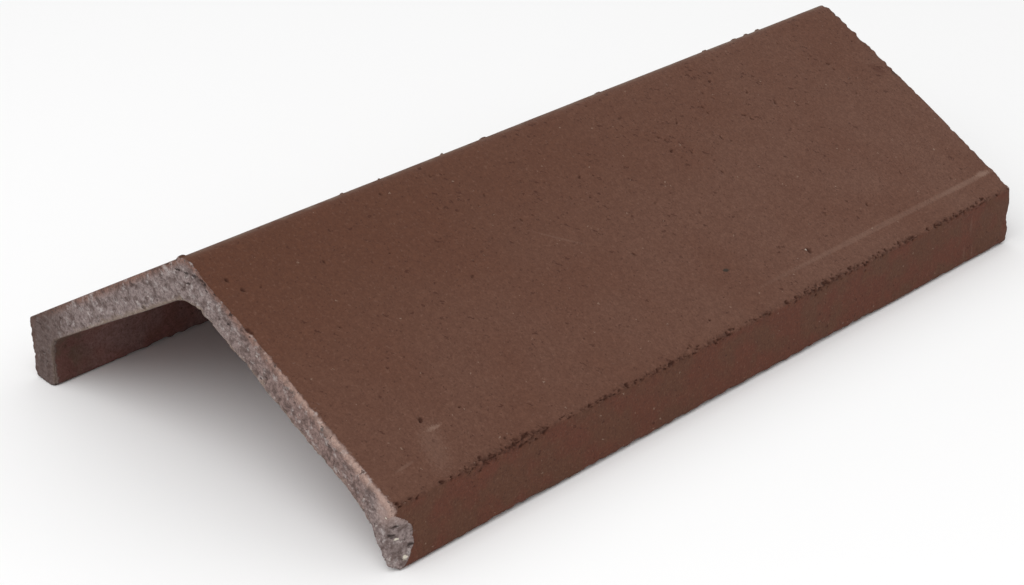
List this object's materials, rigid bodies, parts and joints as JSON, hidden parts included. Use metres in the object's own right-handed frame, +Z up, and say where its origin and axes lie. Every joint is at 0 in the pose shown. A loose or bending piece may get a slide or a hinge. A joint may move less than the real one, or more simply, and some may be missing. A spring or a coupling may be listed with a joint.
{
  "type": "clay coping tile",
  "caption": "Extruded fired-clay saddle coping tile: gabled section with a rounded ridge and hanging drip flanges, laid end to end in mortar to cap a wall.",
  "frame": {"origin": "middle of the tile's footprint, on the plane that the feet stand on", "axes": "+Z up, +Y along the ridge from the end nearest the picture's camera to the far end, +X towards the flange on the picture's right"},
  "size_m": [0.17, 0.3, 0.0696],
  "materials": {
    "fired_clay": "matt"
  },
  "bodies": {
    "root": {"tile": "fired_clay"}
  },
  "joints": []
}
